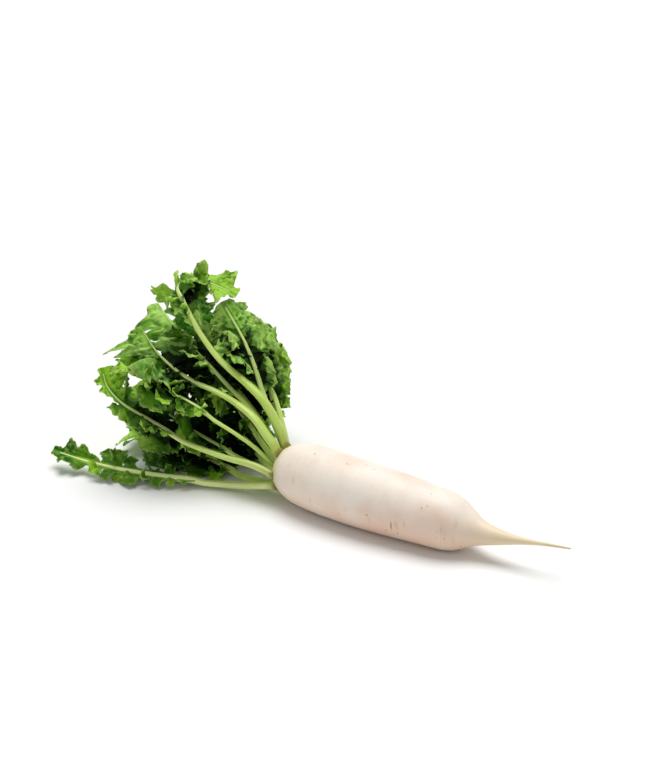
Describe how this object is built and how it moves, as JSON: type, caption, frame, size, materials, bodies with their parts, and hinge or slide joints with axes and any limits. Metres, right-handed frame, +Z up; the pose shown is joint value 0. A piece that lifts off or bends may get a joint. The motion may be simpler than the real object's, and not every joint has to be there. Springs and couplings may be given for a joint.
{
  "type": "daikon radish",
  "caption": "White daikon radish with its bunch of lobed green leaves, lying on its side with one leaf on the ground.",
  "frame": {"origin": "on the surface that the radish lies on, in the flat underside of the root, 110 mm behind the crown's face", "axes": "+X along the root towards its tail, the leaves towards -X; +Z up"},
  "size_m": [0.5462, 0.2102, 0.1994],
  "materials": {
    "root_skin": "smooth cream-white root skin with faint rings, a yellow-green rim at the crown and a brownish tail",
    "stalk_green": "smooth pale yellow-green leaf stalk",
    "blade_green": "soft mid-green leaf, paler and greyer underneath"
  },
  "bodies": {
    "root": {"root": "root_skin", "leaf_near_low_stalk": "stalk_green", "leaf_near_low_blade": "blade_green", "leaf_near_side_stalk": "stalk_green", "leaf_near_side_blade": "blade_green", "leaf_near_high_stalk": "stalk_green", "leaf_near_high_blade": "blade_green", "leaf_top_stalk": "stalk_green", "leaf_top_blade": "blade_green", "leaf_far_high_stalk": "stalk_green", "leaf_far_high_blade": "blade_green", "leaf_far_low_stalk": "stalk_green", "leaf_far_low_blade": "blade_green", "leaf_under_stalk": "stalk_green", "leaf_under_blade": "blade_green", "leaf_inner_near_stalk": "stalk_green", "leaf_inner_near_blade": "blade_green", "leaf_inner_far_stalk": "stalk_green", "leaf_inner_far_blade": "blade_green", "leaf_inner_low_far_stalk": "stalk_green", "leaf_inner_low_far_blade": "blade_green", "leaf_inner_high_stalk": "stalk_green", "leaf_inner_high_blade": "blade_green", "leaf_inner_back_stalk": "stalk_green", "leaf_inner_back_blade": "blade_green", "leaf_inner_top_stalk": "stalk_green", "leaf_inner_top_blade": "blade_green", "leaf_inner_low_stalk": "stalk_green", "leaf_inner_low_blade": "blade_green"}
  },
  "joints": []
}
